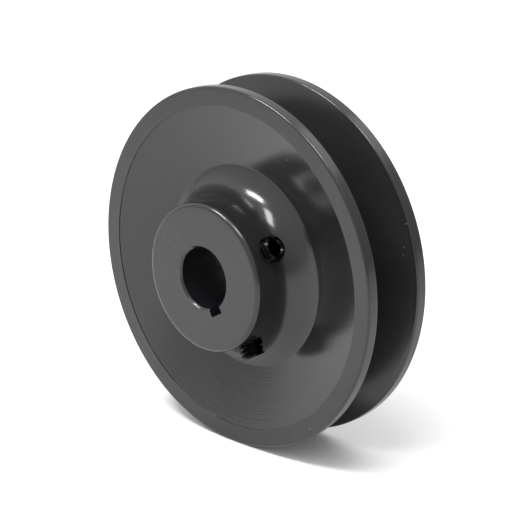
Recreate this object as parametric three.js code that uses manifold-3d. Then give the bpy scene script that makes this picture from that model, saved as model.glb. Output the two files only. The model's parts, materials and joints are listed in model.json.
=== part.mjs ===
// Single-groove V-belt pulley with a fixed bore: one iron casting whose hub stands out in front,
// a keyed bore, and two hex-socket set screws, one over the keyway and one a quarter turn from it.
//
// Frame: millimetres, +Z up, the pulley's axis along Y, the hub's nose towards -Y, and the origin
// on the axis, halfway along the pulley. Profiles are points of (radius, y).

import * as THREE from "three";
import { mergeVertices } from "three/addons/utils/BufferGeometryUtils.js";
import Module from "manifold-3d";

const wasm = await Module();
wasm.setup();

const INCH = 25.4;
const degrees = THREE.MathUtils.degToRad;
const QUARTER = Math.PI / 2;

// ---- Driving dimensions ----
const OUTSIDE_R = (4.45 / 2) * INCH;
const RIM_WIDTH = 1 * INCH;
const BORE_R = (3 / 8) * INCH;
const HUB_LENGTH = (1 + 3 / 8) * INCH;
const KEY_WIDTH = (3 / 16) * INCH;
const KEYWAY_ANGLE = degrees(-60); // in the XZ plane, from +X towards +Z
const SIDE_SCREW_ANGLE = KEYWAY_ANGLE + QUARTER;

// Rim and belt groove
const LAND_WIDTH = 3.8; // flat outer edge of each flange
const LAND_BREAK = 0.7; // chamfer where a land turns into the groove
const RIM_EDGE = 0.5; // chamfer on the rim's two outer corners
const GROOVE_SLOPE = degrees(17); // half of the 34 degree groove
const GROOVE_FLOOR_R = 41.5;
const GROOVE_CORNER = 1.2;

// Front face: a flat ring, then a web turned to a shallow cone that cuts into the hub's cove
const FACE_RING_R = 50.8; // inner edge of the flat ring
const FACE_STEP = 0.15; // how far the web starts below the ring
const DISH_R = 31.8; // where the cone meets the cove
const DISH_DEPTH = 5.3;

// Hub
const HUB_R = 23.2;
const HUB_REACH = 12.1; // how far the nose stands ahead of the front face
const HUB_CORNER = 1.4;
const COVE_R = (3 / 8) * INCH;
const BORE_CHAMFER = 0.6;

// Back side: a ring-shaped pocket between the rim and the hub
const WEB_BACK = 11; // from the front face to the pocket's floor
const POCKET_R = 36.4;
const POCKET_DRAFT = 1.2; // how much wider the pocket is at the back face
const POCKET_CORNER = 3;
const BACK_CHAMFER = 0.8;

// Set screws, 5/16-18 and half an inch long
const SCREW_R = (5 / 32) * INCH;
const SCREW_LENGTH = INCH / 2;
const PITCH = INCH / 18;
const SCREW_AHEAD = 3.9; // how far the screws' axes lie ahead of the front face
const HEX_FLATS = (5 / 32) * INCH;
const HEX_DEPTH = 5;
const SOCKET_CHAMFER = 0.6;
const POINT_R = 2.6;
const POINT_LENGTH = 1.3;
const CUP_R = 2;
const CUP_DEPTH = 1;
const THREAD_GAP = 0.3; // the threads are left out: screw and hole are cylinders this far apart
const SIDE_TURNS = 3; // turns from rest until the side screw bears on the shaft
const KEY_TURNS = 2; // turns from rest until the other screw bears on the key

const SIDES = 96;
const SCREW_SIDES = 32;

// ---- Worked out from the dimensions above ----
const NOSE_Y = -(HUB_REACH + RIM_WIDTH) / 2;
const FRONT_Y = NOSE_Y + HUB_REACH;
const BACK_Y = FRONT_Y + RIM_WIDTH;
const GROOVE_Y = (FRONT_Y + BACK_Y) / 2;
const HUB_BACK_Y = NOSE_Y + HUB_LENGTH;
const SCREW_Y = FRONT_Y - SCREW_AHEAD;
const KEYWAY_FLOOR = BORE_R + KEY_WIDTH / 2;

// ---- Helpers ----
const at = (r, y) => new THREE.Vector2(r, y);

// Points on an arc, both ends included.
function arc(centreR, centreY, radius, from, to, steps) {
  const points = [];
  for (let i = 0; i <= steps; i++) {
    const a = from + ((to - from) * i) / steps;
    points.push(at(centreR + radius * Math.cos(a), centreY + radius * Math.sin(a)));
  }
  return points;
}

function solid(geometry) {
  const bare = geometry.clone();
  bare.deleteAttribute("normal");
  bare.deleteAttribute("uv");
  const merged = mergeVertices(bare, 1e-4);
  const mesh = new wasm.Mesh({
    numProp: 3,
    vertProperties: merged.attributes.position.array,
    triVerts: new Uint32Array(merged.index.array),
  });
  return new wasm.Manifold(mesh);
}

function geometryOf(manifold) {
  const mesh = manifold.getMesh();
  const geometry = new THREE.BufferGeometry();
  geometry.setAttribute("position", new THREE.BufferAttribute(mesh.vertProperties, 3));
  geometry.setIndex(new THREE.BufferAttribute(mesh.triVerts, 1));
  geometry.computeVertexNormals();
  return geometry;
}

// ---- Casting ----
function hubFront() {
  return [
    at(BORE_R, NOSE_Y + BORE_CHAMFER),
    at(BORE_R + BORE_CHAMFER, NOSE_Y),
    ...arc(HUB_R - HUB_CORNER, NOSE_Y + HUB_CORNER, HUB_CORNER, -QUARTER, 0, 4),
  ];
}

// From the hub's side through the cove and over the coned web to the flat ring. The cove is an arc
// that touches the hub's side and ends where the cone cuts it off.
function webFront() {
  const centreR = HUB_R + COVE_R;
  const end = Math.acos((DISH_R - centreR) / COVE_R);
  const centreY = FRONT_Y + DISH_DEPTH - COVE_R * Math.sin(end);
  return [
    ...arc(centreR, centreY, COVE_R, 2 * QUARTER, end, 11),
    at(FACE_RING_R - FACE_STEP, FRONT_Y + FACE_STEP),
    at(FACE_RING_R, FRONT_Y),
  ];
}

// One flange and its half of the groove, listed from the flange's outer face inwards. The side is
// -1 for the front flange and 1 for the back one, and across() is a distance from the groove's middle.
function flange(side) {
  const land = RIM_WIDTH / 2 - LAND_WIDTH;
  const wallTopR = OUTSIDE_R - LAND_BREAK;
  const wallFootR = GROOVE_FLOOR_R + GROOVE_CORNER;
  const wall = (r) => land - LAND_BREAK - (wallTopR - r) * Math.tan(GROOVE_SLOPE);
  const across = (distance) => GROOVE_Y + side * distance;
  return [
    at(OUTSIDE_R - RIM_EDGE, across(RIM_WIDTH / 2)),
    at(OUTSIDE_R, across(RIM_WIDTH / 2 - RIM_EDGE)),
    at(OUTSIDE_R, across(land)),
    at(wallTopR, across(wall(wallTopR))),
    at(wallFootR, across(wall(wallFootR))),
    at(GROOVE_FLOOR_R, across(wall(GROOVE_FLOOR_R) - GROOVE_CORNER / 2)),
  ];
}

function backPocket() {
  const floorY = FRONT_Y + WEB_BACK;
  const c = POCKET_CORNER;
  return [
    at(POCKET_R + POCKET_DRAFT + BACK_CHAMFER, BACK_Y),
    at(POCKET_R + POCKET_DRAFT, BACK_Y - BACK_CHAMFER),
    ...arc(POCKET_R - c, floorY + c, c, 0, -QUARTER, 4),
    ...arc(HUB_R + c, floorY + c, c, -QUARTER, -2 * QUARTER, 4),
    at(HUB_R, HUB_BACK_Y - BACK_CHAMFER),
    at(HUB_R - BACK_CHAMFER, HUB_BACK_Y),
    at(BORE_R + BORE_CHAMFER, HUB_BACK_Y),
    at(BORE_R, HUB_BACK_Y - BORE_CHAMFER),
  ];
}

function keywaySlot() {
  const box = new THREE.BoxGeometry(KEYWAY_FLOOR, HUB_LENGTH + 2, KEY_WIDTH);
  box.translate(KEYWAY_FLOOR / 2, (NOSE_Y + HUB_BACK_Y) / 2, 0);
  box.rotateY(-KEYWAY_ANGLE);
  return solid(box);
}

// A plain hole from the bore out through the hub's side and the cove beyond it.
function screwHole(angle) {
  const inner = BORE_R / 2;
  const outer = HUB_R + SCREW_LENGTH;
  const radius = SCREW_R + THREAD_GAP;
  const hole = new THREE.CylinderGeometry(radius, radius, outer - inner, SCREW_SIDES);
  hole.rotateZ(-QUARTER);
  hole.translate((inner + outer) / 2, SCREW_Y, 0);
  hole.rotateY(-angle);
  return solid(hole);
}

function casting() {
  const profile = [
    ...hubFront(),
    ...webFront(),
    ...flange(-1),
    ...flange(1).reverse(),
    ...backPocket(),
  ];
  profile.push(profile[0].clone());
  return solid(new THREE.LatheGeometry(profile, SIDES))
    .subtract(keywaySlot())
    .subtract(screwHole(KEYWAY_ANGLE))
    .subtract(screwHole(SIDE_SCREW_ANGLE));
}

// ---- Set screw, along +X with the rim of its cup point at x = 0 ----
function setScrew() {
  const profile = [
    at(0, CUP_DEPTH),
    at(CUP_R, 0),
    at(POINT_R, 0),
    at(SCREW_R, POINT_LENGTH),
    at(SCREW_R, SCREW_LENGTH - SOCKET_CHAMFER),
    at(SCREW_R - SOCKET_CHAMFER, SCREW_LENGTH),
    at(0, SCREW_LENGTH),
  ];
  const body = new THREE.LatheGeometry(profile, SCREW_SIDES);
  body.rotateZ(-QUARTER);
  const hexCornerR = HEX_FLATS / Math.sqrt(3);
  const socket = new THREE.CylinderGeometry(hexCornerR, hexCornerR, 2 * HEX_DEPTH, 6);
  socket.rotateZ(-QUARTER);
  socket.translate(SCREW_LENGTH, 0, 0);
  return solid(body).subtract(solid(socket));
}

// ---- Assembly ----
const paint = new THREE.MeshStandardMaterial({ color: 0x4a4a4b, roughness: 0.3, metalness: 0.1 });
const oxide = new THREE.MeshStandardMaterial({ color: 0x141415, roughness: 0.3, metalness: 0.8 });

const pulley = new THREE.Group();

function add(name, manifold, material) {
  const mesh = new THREE.Mesh(geometryOf(manifold), material);
  mesh.name = name;
  pulley.add(mesh);
  return mesh;
}

// pointR is the distance of the screw's point from the pulley's axis.
function addScrew(name, angle, pointR) {
  const screw = add(name, setScrew(), oxide);
  screw.rotation.y = -angle;
  screw.position.set(pointR * Math.cos(angle), SCREW_Y, pointR * Math.sin(angle));
}

add("sheave_casting", casting(), paint);
addScrew("side_set_screw", SIDE_SCREW_ANGLE, BORE_R + SIDE_TURNS * PITCH);
addScrew("keyway_set_screw", KEYWAY_ANGLE, KEYWAY_FLOOR + KEY_TURNS * PITCH);

export default pulley;
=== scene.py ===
"""Looks of a single-groove V-belt pulley: a gloss painted iron casting and two black set screws.

Lengths are in metres. The pulley's axis lies along Y, the hub's nose points to -Y and +Z is up.
A profile is a list of (radius, y) points. A screw and its tapped hole are made lying along X,
where x is the distance from the pulley's axis, and are then turned into place.
"""

import json
import math

import bmesh
import bpy
from mathutils import Matrix, Vector


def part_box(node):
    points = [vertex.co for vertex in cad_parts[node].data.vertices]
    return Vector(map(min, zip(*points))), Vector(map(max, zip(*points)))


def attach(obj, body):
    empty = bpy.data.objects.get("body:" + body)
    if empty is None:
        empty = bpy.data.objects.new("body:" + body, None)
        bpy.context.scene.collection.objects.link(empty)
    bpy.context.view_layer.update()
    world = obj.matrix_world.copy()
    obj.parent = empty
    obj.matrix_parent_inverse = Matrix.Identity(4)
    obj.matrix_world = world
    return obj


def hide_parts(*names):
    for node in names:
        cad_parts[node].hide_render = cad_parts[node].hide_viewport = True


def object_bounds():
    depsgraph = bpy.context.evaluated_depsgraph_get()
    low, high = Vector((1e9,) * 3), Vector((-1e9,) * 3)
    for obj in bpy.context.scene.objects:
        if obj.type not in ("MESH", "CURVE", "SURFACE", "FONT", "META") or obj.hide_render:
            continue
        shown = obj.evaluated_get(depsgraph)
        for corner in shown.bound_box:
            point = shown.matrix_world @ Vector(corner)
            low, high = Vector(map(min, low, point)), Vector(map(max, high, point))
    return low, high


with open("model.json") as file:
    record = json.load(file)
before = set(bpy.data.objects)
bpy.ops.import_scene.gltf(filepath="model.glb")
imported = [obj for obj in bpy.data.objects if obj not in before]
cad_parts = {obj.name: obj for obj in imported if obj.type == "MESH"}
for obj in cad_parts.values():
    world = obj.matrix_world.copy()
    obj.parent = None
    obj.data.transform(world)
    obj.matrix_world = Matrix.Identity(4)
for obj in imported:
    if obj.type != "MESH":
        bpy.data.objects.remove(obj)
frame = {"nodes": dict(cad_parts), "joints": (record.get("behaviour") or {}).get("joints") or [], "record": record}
cad_low, cad_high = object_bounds()

MM = 0.001
INCH = 25.4 * MM

# ---- Dimensions of the casting ----
casting_low, casting_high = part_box("sheave_casting")
OUTSIDE_R = casting_high.x
NOSE_Y = casting_low.y
BACK_Y = casting_high.y
RIM_WIDTH = 1 * INCH
FRONT_Y = BACK_Y - RIM_WIDTH
GROOVE_Y = (FRONT_Y + BACK_Y) / 2
HUB_LENGTH = (1 + 3 / 8) * INCH
HUB_BACK_Y = NOSE_Y + HUB_LENGTH
BORE_R = 3 / 8 * INCH
BORE_CHAMFER = 0.6 * MM
KEY_WIDTH = 3 / 16 * INCH
KEYWAY_FLOOR = BORE_R + KEY_WIDTH / 2

# Rim and belt groove: each edge or corner is the radius that rounds it
RIM_EDGE = 0.8 * MM
LAND_WIDTH = 3.8 * MM
LAND_EDGE = 0.7 * MM
LAND_INNER = RIM_WIDTH / 2 - LAND_WIDTH
GROOVE_SLOPE = math.radians(17)
GROOVE_FLOOR_R = 41.5 * MM
GROOVE_CORNER = 1.6 * MM

# Front face: a flat ring, a small step down, and a coned web that cuts into the hub's cove
FACE_RING_R = 50.8 * MM
FACE_STEP = 0.3 * MM
STEP_LEAN = FACE_STEP / 4
DISH_R = 31.8 * MM
DISH_DEPTH = 5.3 * MM
DISH_EDGE = 1.0 * MM
DISH_Y = FRONT_Y + DISH_DEPTH

HUB_R = 23.2 * MM
HUB_CORNER = 1.4 * MM
COVE_R = 3 / 8 * INCH

# Back side: a ring-shaped pocket between the rim and the hub
WEB_BACK = 11 * MM
POCKET_R = 36.4 * MM
POCKET_DRAFT = 1.2 * MM
POCKET_CORNER = 3 * MM
BACK_EDGE = 0.8 * MM

# ---- Dimensions of the set screws, 5/16-18 and half an inch long ----
PITCH = INCH / 18
SCREW_R = 5 / 32 * INCH
SCREW_LENGTH = INCH / 2
BLANK_R = 1.01 * SCREW_R  # clear of the thread's crests, which it must not trim
THREAD_DEPTH = 0.61 * PITCH
THREAD_CREST = PITCH / 8
THREAD_FLANK = math.radians(30)
HOLE_GAP = 0.08 * MM
HOLE_THREAD_DEPTH = 0.5 * PITCH
HEX_SIDES = 6
HEX_FLATS = 5 / 32 * INCH
HEX_DEPTH = 5 * MM
DRILL_CONE = 1 * MM
MOUTH_R = 2.55 * MM
END_CHAMFER = 0.75 * MM
POINT_R = 2.6 * MM
POINT_LENGTH = 1.3 * MM
CUP_R = 2 * MM
CUP_DEPTH = 1 * MM
OVERSHOOT = 1 * MM  # how far a cutting shape reaches past the surface it cuts

# ---- Fineness of the meshes ----
ROUND_STEPS = 7
COVE_STEPS = 28
TURN_STEPS = 256
THREAD_STEPS = 48
LONGEST_STEP = 1.5 * MM
SAME_POINT = 0.0001 * MM  # points of an outline that meet on the axis
SAME_PLACE = 0.003 * MM  # points that a cut leaves next to each other
CASTING_SHARP = math.radians(20)
SCREW_SHARP = math.radians(30)


# ---- Mesh helpers ----
def round_corners(corners):
    """Points of a closed outline whose corners (radius, y, rounding) become arcs."""
    points = []
    for i, (r, y, rounding) in enumerate(corners):
        corner = Vector((r, y))
        if not rounding:
            points.append(corner)
            continue
        before = (Vector(corners[i - 1][:2]) - corner).normalized()
        after = (Vector(corners[(i + 1) % len(corners)][:2]) - corner).normalized()
        half_angle = before.angle(after) / 2
        centre = corner + (before + after).normalized() * rounding / math.sin(half_angle)
        start = corner + before * rounding / math.tan(half_angle) - centre
        end = corner + after * rounding / math.tan(half_angle) - centre
        for step in range(ROUND_STEPS + 1):
            outwards = start.normalized().slerp(end.normalized(), step / ROUND_STEPS)
            points.append(centre + outwards * rounding)
    return points


def split_long_steps(points):
    """The same closed outline with extra points, so that no step is longer than LONGEST_STEP."""
    finer = []
    for start, end in zip(points, points[1:] + points[:1]):
        pieces = math.ceil((end - start).length / LONGEST_STEP)
        finer += [start.lerp(end, i / pieces) for i in range(pieces)]
    return finer


def lathe(points, steps):
    """A closed bmesh: an outline of (radius, along) turned about Y."""
    made = bmesh.new()
    rings = []
    for i in range(steps):
        a = 2 * math.pi * i / steps
        rings.append([made.verts.new((r * math.cos(a), y, r * math.sin(a))) for r, y in points])
    for ring, next_ring in zip(rings, rings[1:] + rings[:1]):
        for j in range(len(points)):
            k = (j + 1) % len(points)
            if points[j][0] > 0 or points[k][0] > 0:
                made.faces.new((ring[j], ring[k], next_ring[k], next_ring[j]))
    bmesh.ops.remove_doubles(made, verts=made.verts, dist=SAME_POINT)
    bmesh.ops.dissolve_degenerate(made, edges=made.edges, dist=SAME_POINT)
    bmesh.ops.recalc_face_normals(made, faces=made.faces)
    return made


def lathe_along_x(points, steps):
    """The same for an outline of (radius, x), turned about X."""
    made = lathe(points, steps)
    made.transform(Matrix.Rotation(-math.pi / 2, 4, "Z"))
    return made


def threaded_rod(start, end, crest_r, depth):
    """A bmesh of a right-hand threaded rod along X, at least from start to end. The thread's
    place depends on x alone, so rods made with different ends still fit each other."""
    flank = depth * math.tan(THREAD_FLANK)
    tooth = [
        (-THREAD_CREST / 2, crest_r),
        (THREAD_CREST / 2, crest_r),
        (THREAD_CREST / 2 + flank, crest_r - depth),
        (PITCH - THREAD_CREST / 2 - flank, crest_r - depth),
    ]
    first_turn = math.floor(start / PITCH) - 1
    turns = math.ceil(end / PITCH) + 1 - first_turn
    last = len(tooth) * turns
    made = bmesh.new()

    def column(j, count):
        """Points along the rod at one place round it. Each is a step of the helix ahead of
        the same point in the column before."""
        a = 2 * math.pi * j / THREAD_STEPS
        verts = []
        for i in range(count):
            turn, place = divmod(i, len(tooth))
            offset, r = tooth[place]
            x = (first_turn + turn + j / THREAD_STEPS) * PITCH + offset
            verts.append(made.verts.new((x, r * math.cos(a), r * math.sin(a))))
        return verts

    # The first column closes the rod too, one turn further on, so it is one turn longer.
    columns = [column(0, last + len(tooth) + 1)]
    columns += [column(j, last + 1) for j in range(1, THREAD_STEPS)]
    columns.append(columns[0][len(tooth):])
    for left, right in zip(columns, columns[1:]):
        for i in range(last):
            made.faces.new((left[i], left[i + 1], right[i + 1], right[i]))

    # Each end is a fan round its centre. Its rim is one turn of the helix and the first
    # column's points that lead back to where that turn began.
    for i, x in ((0, first_turn * PITCH), (last, (first_turn + turns + 1) * PITCH)):
        centre = made.verts.new((x, 0, 0))
        rim = [verts[i] for verts in columns]
        rim += columns[0][i + len(tooth) - 1 : i : -1]
        for one, other in zip(rim, rim[1:] + rim[:1]):
            made.faces.new((one, other, centre))
    bmesh.ops.recalc_face_normals(made, faces=made.faces)
    return made


def to_object(made, name):
    """A new object that holds the bmesh, which is used up."""
    mesh = bpy.data.meshes.new(name)
    made.to_mesh(mesh)
    made.free()
    obj = bpy.data.objects.new(name, mesh)
    bpy.context.scene.collection.objects.link(obj)
    return obj


def combine(obj, other_bmesh, operation):
    """Cuts the bmesh out of obj, or keeps only what the two share, and uses the bmesh up."""
    tool = to_object(other_bmesh, "tool")
    modifier = obj.modifiers.new("combine", "BOOLEAN")
    modifier.operation = operation
    modifier.solver = "MANIFOLD"
    modifier.object = tool
    shaped = obj.evaluated_get(bpy.context.evaluated_depsgraph_get())
    result = bpy.data.meshes.new_from_object(shaped)
    obj.modifiers.clear()
    old = obj.data
    obj.data = result
    bpy.data.meshes.remove(old)
    bpy.data.objects.remove(tool)


def drop_slivers(mesh):
    """Merges points that the cuts left in the same place and drops the faces that this closes."""
    made = bmesh.new()
    made.from_mesh(mesh)
    bmesh.ops.remove_doubles(made, verts=made.verts, dist=SAME_PLACE)
    bmesh.ops.dissolve_degenerate(made, edges=made.edges, dist=SAME_PLACE)
    made.to_mesh(mesh)
    made.free()


def finish_piece(obj, material, body, node, sharp_angle):
    """Clean mesh, smooth shading that keeps flat faces flat, material and tie to the frame."""
    drop_slivers(obj.data)
    obj.data.shade_smooth()
    obj.data.set_sharp_from_angle(angle=sharp_angle)
    weighted = obj.modifiers.new("weighted_normals", "WEIGHTED_NORMAL")
    weighted.keep_sharp = True
    obj.data.materials.clear()
    obj.data.materials.append(material)
    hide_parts(node)
    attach(obj, body)


# ---- Casting ----
def cove():
    """An arc that touches the hub's side and ends where the coned web cuts it off."""
    centre_r = HUB_R + COVE_R
    end = math.acos((DISH_R - centre_r) / COVE_R)
    centre_y = DISH_Y - COVE_R * math.sin(end)
    corners = []
    for i in range(COVE_STEPS):
        a = math.pi + (end - math.pi) * i / COVE_STEPS
        corners.append((centre_r + COVE_R * math.cos(a), centre_y + COVE_R * math.sin(a), 0))
    return [*corners, (DISH_R, DISH_Y, DISH_EDGE)]


def flange(side):
    """One flange from its outer face down to the groove's floor: side is -1 in front, 1 behind."""
    floor_half = LAND_INNER - (OUTSIDE_R - GROOVE_FLOOR_R) * math.tan(GROOVE_SLOPE)
    return [
        (OUTSIDE_R, GROOVE_Y + side * RIM_WIDTH / 2, RIM_EDGE),
        (OUTSIDE_R, GROOVE_Y + side * LAND_INNER, LAND_EDGE),
        (GROOVE_FLOOR_R, GROOVE_Y + side * floor_half, GROOVE_CORNER),
    ]


def casting_outline():
    pocket_floor = FRONT_Y + WEB_BACK
    corners = [
        (BORE_R, NOSE_Y + BORE_CHAMFER, 0),
        (BORE_R + BORE_CHAMFER, NOSE_Y, 0),
        (HUB_R, NOSE_Y, HUB_CORNER),
        *cove(),
        (FACE_RING_R - STEP_LEAN, FRONT_Y + FACE_STEP, 0),
        (FACE_RING_R, FRONT_Y, 0),
        *flange(-1),
        *reversed(flange(1)),
        (POCKET_R + POCKET_DRAFT, BACK_Y, BACK_EDGE),
        (POCKET_R, pocket_floor, POCKET_CORNER),
        (HUB_R, pocket_floor, POCKET_CORNER),
        (HUB_R, HUB_BACK_Y, BACK_EDGE),
        (BORE_R + BORE_CHAMFER, HUB_BACK_Y, 0),
        (BORE_R, HUB_BACK_Y - BORE_CHAMFER, 0),
    ]
    return split_long_steps(round_corners(corners))


def keyway_slot():
    """A slot along Y, from the axis out along X to the keyway's floor."""
    made = bmesh.new()
    bmesh.ops.create_cube(made, size=1)
    length = HUB_LENGTH + 2 * BORE_CHAMFER
    bmesh.ops.scale(made, vec=(KEYWAY_FLOOR, length, KEY_WIDTH), verts=made.verts)
    bmesh.ops.translate(made, vec=(KEYWAY_FLOOR / 2, NOSE_Y + HUB_LENGTH / 2, 0), verts=made.verts)
    return made


def build_casting(seats, key_seat):
    """The turned casting with its keyway, which faces the same way as key_seat, and a tapped
    hole at each seat."""
    obj = to_object(lathe(casting_outline(), TURN_STEPS), "pulley_casting")
    slot = keyway_slot()
    slot.transform(key_seat.to_3x3().to_4x4())
    combine(obj, slot, "DIFFERENCE")
    for seat in seats:
        tap = threaded_rod(BORE_R / 2, DISH_R, SCREW_R + HOLE_GAP, HOLE_THREAD_DEPTH)
        tap.transform(seat)
        combine(obj, tap, "DIFFERENCE")
    return obj


# ---- Set screws ----
def screw_blank(point):
    """The screw's outside without its thread: cup point, point cone and end chamfer."""
    end = point + SCREW_LENGTH
    outline = [
        (0, point + CUP_DEPTH),
        (CUP_R, point),
        (POINT_R, point),
        (BLANK_R, point + POINT_LENGTH),
        (BLANK_R, end - END_CHAMFER),
        (SCREW_R - END_CHAMFER, end),
        (0, end),
    ]
    return lathe_along_x(outline, THREAD_STEPS)


def socket(end):
    """The hexagonal socket with its drilled bottom, open past the screw's outer end."""
    corner_r = HEX_FLATS / math.sqrt(3)
    bottom = end - HEX_DEPTH
    top = end + OVERSHOOT
    outline = [(0, bottom - DRILL_CONE), (corner_r, bottom), (corner_r, top), (0, top)]
    return lathe_along_x(outline, HEX_SIDES)


def socket_mouth(end):
    """The cone turned into the socket's mouth, whose radius is MOUTH_R at the screw's end."""
    outline = [(0, end - MOUTH_R), (2 * MOUTH_R, end + MOUTH_R), (0, end + MOUTH_R)]
    return lathe_along_x(outline, THREAD_STEPS)


def build_screw(name, seat, point):
    """A threaded set screw whose point is at that distance from the pulley's axis."""
    end = point + SCREW_LENGTH
    obj = to_object(threaded_rod(point, end, SCREW_R, THREAD_DEPTH), name)
    combine(obj, screw_blank(point), "INTERSECT")
    combine(obj, socket(end), "DIFFERENCE")
    combine(obj, socket_mouth(end), "DIFFERENCE")
    obj.data.transform(seat)
    return obj


# ---- Looks of the materials ----
PAINT_SLOT = "gloss_grey_paint"
PAINT_DARK = (0.0114, 0.0106, 0.0108, 1)
PAINT_LIGHT = (0.0156, 0.0146, 0.0149, 1)
PAINT_WORN = (0.060, 0.057, 0.056, 1)
PAINT_SPECK = (0.12, 0.112, 0.104, 1)
PAINT_ROUGHNESS = (0.14, 0.20)
GROOVE_ROUGHNESS = 0.26
# Unpainted iron of the bore and keyway, darker than the paint: painted shade in those recesses
BARE_IRON_WITH_PAINTED_SHADE = (0.006, 0.0055, 0.0075, 1)
BARE_ROUGHNESS = 0.20

OXIDE_SLOT = "black_oxide_steel"
OXIDE_DARK = (0.007, 0.007, 0.0085, 1)
OXIDE_LIGHT = (0.015, 0.015, 0.018, 1)
OXIDE_WORN = (0.05, 0.05, 0.055, 1)
OXIDE_ROUGHNESS = (0.08, 0.14)
OXIDE_METALLIC = 1.0

FLOOR_COLOUR = (0.85, 0.85, 0.85, 1)
FLOOR_ROUGHNESS = (0.85, 0.95)
FLOOR_SPECULAR = 0.1

# Patches: noise waves per metre, and the noise values where a patch begins and is at its full.
PAINT_SHADES = (45, 0.3, 0.7)
PAINT_GLOSS = (120, 0.3, 0.7)
PAINT_WEAR = (300, 0.45, 0.65)
CAST_SKIN = (900, 0.45, 0.75)
OXIDE_MOTTLE = (400, 0.35, 0.65)

# Even textures: noise waves per metre, and how many octaves of finer detail they hold.
ORANGE_PEEL = (520, 2.0)
PAINT_GRAIN = (2400, 1.0)
OXIDE_GRAIN = (2500, 2.0)
PAPER_GRAIN = (200, 3.0)
TURNING_MARKS = (1500, 2.0)
PATCH_DETAIL = 3.0

# Worn edges: the bevel's width, and the cosines between the bevelled and the true face at which
# the wear is full and has ended.
PAINT_EDGE = (0.35 * MM, 0.80, 0.97)
OXIDE_EDGE = (0.10 * MM, 0.72, 0.95)
OXIDE_EDGE_WEAR = 0.35
BEVEL_SAMPLES = 6

# Dust specks: cells per metre, the radii in cells from which a dot fades in and is at its full,
# and the same for the random value that picks a cell to have a dot.
SPECK_CELLS = 330.0
SPECK_DOT = (0.09, 0.05)
SPECK_PICK = (0.925, 0.930)

# Turning marks: how far outside the cove they begin and over what width they fade in, how faint
# they are above the axis, and the height at which they are plainest.
MARKS_START = 2 * MM
MARKS_FADE = 1 * MM
MARKS_FAINTEST = 0.25
MARKS_PLAINEST_Z = -30 * MM

# Heights of the paint's unevenness, as multiples of PAINT_BUMP
PAINT_BUMP = 0.012 * MM
MARKS_HEIGHT = 1.7
PEEL_HEIGHT = 0.5
GRAIN_HEIGHT = 0.12
SKIN_HEIGHT = 3.5
SPECK_HEIGHT = 3.0
OXIDE_BUMP = 0.01 * MM

# Where one finish ends and the next begins: from a place outside to a place inside it
BARE_LIMIT = (KEYWAY_FLOOR + 0.4 * MM, KEYWAY_FLOOR + 0.3 * MM)
SIDEWAYS_LIMIT = (0.5, 0.4)
GROOVE_LIMIT = (GROOVE_FLOOR_R - 1 * MM, GROOVE_FLOOR_R - 0.5 * MM)
GROOVE_FADE = 0.5 * MM
NOSE_LIMIT = (NOSE_Y + 0.3 * MM, NOSE_Y + 0.1 * MM)
WEB_LIMIT = (DISH_Y + 3 * MM, DISH_Y + 1 * MM)


# ---- Node helpers ----
def add_node(tree, kind, inputs, **settings):
    """Adds a node, sets it up, and fills its inputs with values or with other nodes' outputs."""
    made = tree.nodes.new("ShaderNode" + kind)
    for name, value in settings.items():
        setattr(made, name, value)
    for name, value in inputs.items():
        if isinstance(value, bpy.types.NodeSocket):
            tree.links.new(value, made.inputs[name])
        else:
            made.inputs[name].default_value = value
    return made


def maths(tree, operation, *values):
    """Folds any number of values together with one operation."""
    result = values[0]
    for value in values[1:]:
        node = add_node(tree, "Math", {0: result, 1: value}, operation=operation)
        result = node.outputs[0]
    return result


def remap(tree, value, low, high, to_low=0.0, to_high=1.0):
    """Stretches low..high to to_low..to_high and holds the ends beyond them."""
    inputs = {"Value": value, "From Min": low, "From Max": high, "To Min": to_low, "To Max": to_high}
    return add_node(tree, "MapRange", inputs).outputs["Result"]


def band(tree, value, low, high, fade):
    """1 where the value lies between low and high, 0 outside, with a fade inside each end."""
    rising = remap(tree, value, low, low + fade)
    falling = remap(tree, value, high, high - fade)
    return maths(tree, "MULTIPLY", rising, falling)


def dot_product(tree, one, other):
    return add_node(tree, "VectorMath", {0: one, 1: other}, operation="DOT_PRODUCT").outputs["Value"]


def noise(tree, place, scale, detail):
    inputs = {"Vector": place, "Scale": scale, "Detail": detail}
    return add_node(tree, "TexNoise", inputs).outputs["Fac"]


def patches(tree, place, scale, low, high, to_low=0.0, to_high=1.0):
    """Irregular patches: noise spread out to run from to_low at low to to_high at high."""
    return remap(tree, noise(tree, place, scale, PATCH_DETAIL), low, high, to_low, to_high)


def blend_colours(tree, share, colour, other):
    inputs = {"Fac": share, "Color1": colour, "Color2": other}
    return add_node(tree, "MixRGB", inputs).outputs["Color"]


def edge_mask(tree, width, low, high):
    """1 along edges that a bevel of this width would round, 0 on open faces."""
    bevel = add_node(tree, "Bevel", {"Radius": width}, samples=BEVEL_SAMPLES)
    true = add_node(tree, "NewGeometry", {})
    return remap(tree, dot_product(tree, bevel.outputs["Normal"], true.outputs["Normal"]), high, low)


def new_material(name):
    material = bpy.data.materials.new(name)
    material.use_nodes = True
    return material, material.node_tree


def connect(tree, colour, roughness, height, bump_distance):
    """Joins the finished values to the material's shader."""
    shader = tree.nodes["Principled BSDF"]
    bump = add_node(tree, "Bump", {"Height": height, "Distance": bump_distance, "Strength": 1.0})
    tree.links.new(colour, shader.inputs["Base Color"])
    tree.links.new(roughness, shader.inputs["Roughness"])
    tree.links.new(bump.outputs["Normal"], shader.inputs["Normal"])
    return shader


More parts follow.
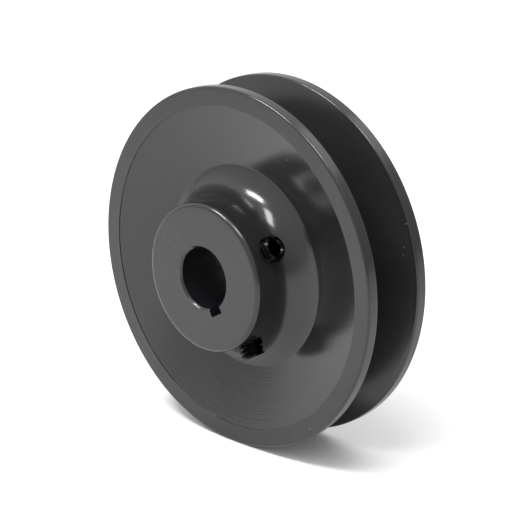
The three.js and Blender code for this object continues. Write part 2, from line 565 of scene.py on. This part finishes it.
# ---- Paint ----
def casting_places(tree):
    """The point itself, its distance from the pulley's axis, its y and z, and how squarely its
    face looks along the axis."""
    coordinates = add_node(tree, "TexCoord", {}).outputs
    place = coordinates["Object"]
    across, along, height = add_node(tree, "SeparateXYZ", {"Vector": place}).outputs
    across_squared = maths(tree, "MULTIPLY", across, across)
    height_squared = maths(tree, "MULTIPLY", height, height)
    radius = maths(tree, "POWER", maths(tree, "ADD", across_squared, height_squared), 0.5)
    normal = add_node(tree, "SeparateXYZ", {"Vector": coordinates["Normal"]}).outputs
    facing = add_node(tree, "Math", {0: normal["Y"]}, operation="ABSOLUTE").outputs[0]
    return place, radius, along, height, facing


def bare_iron_and_painted_shade_mask(tree, radius, facing):
    """1 on the unpainted iron of the bore and keyway, whose colour is darkened there as painted shade, 0 on the
    painted faces round them.
    """
    near_axis = remap(tree, radius, *BARE_LIMIT)
    return maths(tree, "MULTIPLY", near_axis, remap(tree, facing, *SIDEWAYS_LIMIT))


def groove_mask(tree, radius, along):
    """1 inside the belt groove."""
    between_flanges = band(tree, along, GROOVE_Y - LAND_INNER, GROOVE_Y + LAND_INNER, GROOVE_FADE)
    return maths(tree, "MULTIPLY", remap(tree, radius, *GROOVE_LIMIT), between_flanges)


def speck_mask(tree, place):
    """Dust caught in the paint: a small dot in a few of the cells of a Voronoi pattern."""
    cells = add_node(tree, "TexVoronoi", {"Vector": place, "Scale": SPECK_CELLS}).outputs
    dot = remap(tree, cells["Distance"], *SPECK_DOT)
    pick = add_node(tree, "SeparateColor", {"Color": cells["Color"]}).outputs["Red"]
    return maths(tree, "MULTIPLY", dot, remap(tree, pick, *SPECK_PICK))


def turning_marks(tree, radius, along, height):
    """Faint rings left by the lathe on the coned web, plainest low down."""
    web = band(tree, radius, DISH_R + MARKS_START, FACE_RING_R, MARKS_FADE)
    front = remap(tree, along, *WEB_LIMIT)
    low_down = remap(tree, height, 0.0, MARKS_PLAINEST_Z, MARKS_FAINTEST, 1.0)
    scale, detail = TURNING_MARKS
    inputs = {"W": radius, "Scale": scale, "Detail": detail}
    marks = add_node(tree, "TexNoise", inputs, noise_dimensions="1D").outputs["Fac"]
    return maths(tree, "MULTIPLY", marks, web, front, low_down)


def paint_colour(tree, place, speck, unpainted_and_shaded):
    edges = edge_mask(tree, *PAINT_EDGE)
    worn = maths(tree, "MULTIPLY", edges, patches(tree, place, *PAINT_WEAR))
    colour = blend_colours(tree, patches(tree, place, *PAINT_SHADES), PAINT_DARK, PAINT_LIGHT)
    colour = blend_colours(tree, worn, colour, PAINT_WORN)
    colour = blend_colours(tree, speck, colour, PAINT_SPECK)
    # Painted shade: the bore and keyway, which are unpainted iron, are darkened as if shaded
    return blend_colours(tree, unpainted_and_shaded, colour, BARE_IRON_WITH_PAINTED_SHADE)


def paint_roughness(tree, place, groove, unpainted_and_shaded):
    paint = patches(tree, place, *PAINT_GLOSS, *PAINT_ROUGHNESS)
    in_groove = maths(tree, "MULTIPLY", groove, GROOVE_ROUGHNESS)
    in_bore = maths(tree, "MULTIPLY", unpainted_and_shaded, BARE_ROUGHNESS)
    return maths(tree, "MAXIMUM", paint, in_groove, in_bore)


def paint_bumps(tree, place, radius, along, height, speck):
    """Turning marks, orange peel, fine grain, a cast skin on the hub's nose, and dust."""
    marks = maths(tree, "MULTIPLY", turning_marks(tree, radius, along, height), MARKS_HEIGHT)
    peel = maths(tree, "MULTIPLY", noise(tree, place, *ORANGE_PEEL), PEEL_HEIGHT)
    grain = maths(tree, "MULTIPLY", noise(tree, place, *PAINT_GRAIN), GRAIN_HEIGHT)
    nose = remap(tree, along, *NOSE_LIMIT)
    skin = maths(tree, "MULTIPLY", nose, patches(tree, place, *CAST_SKIN), SKIN_HEIGHT)
    dust = maths(tree, "MULTIPLY", speck, SPECK_HEIGHT)
    return maths(tree, "ADD", marks, peel, grain, skin, dust)


def paint_material():
    """Gloss dark grey enamel over turned iron, duller in the groove, and unpainted in the bore and keyway, where
    the colour is darkened as painted shade.
    """
    material, tree = new_material(PAINT_SLOT)
    place, radius, along, height, facing = casting_places(tree)
    speck = speck_mask(tree, place)
    unpainted_and_shaded = bare_iron_and_painted_shade_mask(tree, radius, facing)
    groove = groove_mask(tree, radius, along)
    colour = paint_colour(tree, place, speck, unpainted_and_shaded)
    roughness = paint_roughness(tree, place, groove, unpainted_and_shaded)
    bumps = paint_bumps(tree, place, radius, along, height, speck)
    connect(tree, colour, roughness, bumps, PAINT_BUMP)
    return material


# ---- Oxide and floor ----
def oxide_material():
    """Oiled black oxide on steel, with brighter steel showing on worn thread crests."""
    material, tree = new_material(OXIDE_SLOT)
    place = add_node(tree, "TexCoord", {}).outputs["Object"]
    mottle = patches(tree, place, *OXIDE_MOTTLE)
    worn = maths(tree, "MULTIPLY", edge_mask(tree, *OXIDE_EDGE), OXIDE_EDGE_WEAR)
    colour = blend_colours(tree, mottle, OXIDE_DARK, OXIDE_LIGHT)
    colour = blend_colours(tree, worn, colour, OXIDE_WORN)
    roughness = remap(tree, mottle, 0, 1, *OXIDE_ROUGHNESS)
    shader = connect(tree, colour, roughness, noise(tree, place, *OXIDE_GRAIN), OXIDE_BUMP)
    shader.inputs["Metallic"].default_value = OXIDE_METALLIC
    return material


def floor_material():
    """Matt white paper with a very faint grain."""
    material, tree = new_material("studio_floor")
    place = add_node(tree, "TexCoord", {}).outputs["Object"]
    shader = tree.nodes["Principled BSDF"]
    shader.inputs["Base Color"].default_value = FLOOR_COLOUR
    shader.inputs["Specular IOR Level"].default_value = FLOOR_SPECULAR
    roughness = remap(tree, noise(tree, place, *PAPER_GRAIN), 0, 1, *FLOOR_ROUGHNESS)
    tree.links.new(roughness, shader.inputs["Roughness"])
    return material


# ---- The object ----
def seat_of(joint):
    """Where a joint's set screw sits: its CAD node, a matrix that lays X along the screw, and
    the distance of its point from the pulley's axis."""
    node = frame["record"]["behaviour"]["bodies"][joint["child"]][0]
    outwards = Vector(joint["axis"]).normalized()
    backwards = Vector((0, 1, 0))
    turn = Matrix((outwards, backwards, outwards.cross(backwards))).transposed().to_4x4()
    low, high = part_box(node)
    seat = Matrix.Translation((0, (low.y + high.y) / 2, 0)) @ turn
    point = min(vertex.co.dot(outwards) for vertex in frame["nodes"][node].data.vertices)
    return node, seat, point


def build_pulley():
    """The casting and one threaded screw for each joint, each in place of its CAD node."""
    paint = paint_material()
    oxide = oxide_material()
    places = {joint["child"]: seat_of(joint) for joint in frame["joints"]}
    seats = {body: seat for body, (node, seat, point) in places.items()}
    casting = build_casting(seats.values(), seats["keyway_screw"])
    finish_piece(casting, paint, "sheave", "sheave_casting", CASTING_SHARP)
    for body, (node, seat, point) in places.items():
        screw = build_screw(body + "_threaded", seat, point)
        finish_piece(screw, oxide, body, node, SCREW_SHARP)


# ---- Studio ----
# A side is an azimuth and an elevation in degrees. The camera looks at AIM, near the middle.
CAMERA_SIDE = (44.38, 18.54)
CAMERA_DISTANCE = 12.4 * OUTSIDE_R
CAMERA_LENS = 156.2
AIM = Vector((7.06, 0.86, 1.27)) * MM

# Each softbox: azimuth, elevation, distance from the pulley, width, height and watts
SOFTBOXES = {
    "left_softbox": (-33, 59, 0.6, 0.23, 0.11, 2.5),
    "right_softbox": (40, 65, 0.6, 0.27, 0.13, 1.8),
    "back_softbox": (150, 54, 1.0, 0.9, 0.5, 1.7),
}

# The room's light grows from the side opposite to BRIGHT_SIDE up to BRIGHT_SIDE.
ROOM_COLOUR = (1.0, 0.985, 0.98, 1)
ROOM_STRENGTH = (0.30, 1.32)
BRIGHT_SIDE = (-60, 50)
FLOOR_REACH = 200 * OUTSIDE_R


def direction(azimuth, elevation):
    """Unit vector from the pulley. Azimuth 0 is in front of it and 90 is at +X."""
    azimuth = math.radians(azimuth)
    elevation = math.radians(elevation)
    level = math.cos(elevation)
    return Vector((math.sin(azimuth) * level, -math.cos(azimuth) * level, math.sin(elevation)))


def place_facing(obj, target, away, distance):
    """Puts a camera or lamp at that distance from the target, looking back at it."""
    obj.location = target + away * distance
    obj.rotation_euler = away.to_track_quat("Z", "Y").to_euler()
    bpy.context.scene.collection.objects.link(obj)


def add_camera():
    data = bpy.data.cameras.new("camera")
    data.lens = CAMERA_LENS
    camera = bpy.data.objects.new("camera", data)
    place_facing(camera, AIM, direction(*CAMERA_SIDE), CAMERA_DISTANCE)
    bpy.context.scene.camera = camera


def add_softbox(name, azimuth, elevation, distance, width, height, watts):
    data = bpy.data.lights.new(name, "AREA")
    data.shape = "RECTANGLE"
    data.size = width
    data.size_y = height
    data.energy = watts
    lamp = bpy.data.objects.new(name, data)
    lamp.visible_camera = False
    place_facing(lamp, Vector(), direction(azimuth, elevation), distance)


def add_floor():
    made = bmesh.new()
    bmesh.ops.create_grid(made, x_segments=1, y_segments=1, size=FLOOR_REACH)
    floor = to_object(made, "floor")
    floor.location.z = cad_low.z
    floor.data.materials.append(floor_material())


def add_surroundings():
    """A white room that is brightest up on the left and dimmest low on the right."""
    world = bpy.data.worlds.new("surroundings")
    world.use_nodes = True
    tree = world.node_tree
    place = add_node(tree, "TexCoord", {}).outputs["Generated"]
    towards = dot_product(tree, place, direction(*BRIGHT_SIDE))
    strength = remap(tree, towards, -1.0, 1.0, *ROOM_STRENGTH)
    background = tree.nodes["Background"]
    background.inputs["Color"].default_value = ROOM_COLOUR
    tree.links.new(strength, background.inputs["Strength"])
    bpy.context.scene.world = world
    bpy.context.scene.view_settings.view_transform = "Standard"


build_pulley()
add_camera()
for name, values in SOFTBOXES.items():
    add_softbox(name, *values)
add_floor()
add_surroundings()
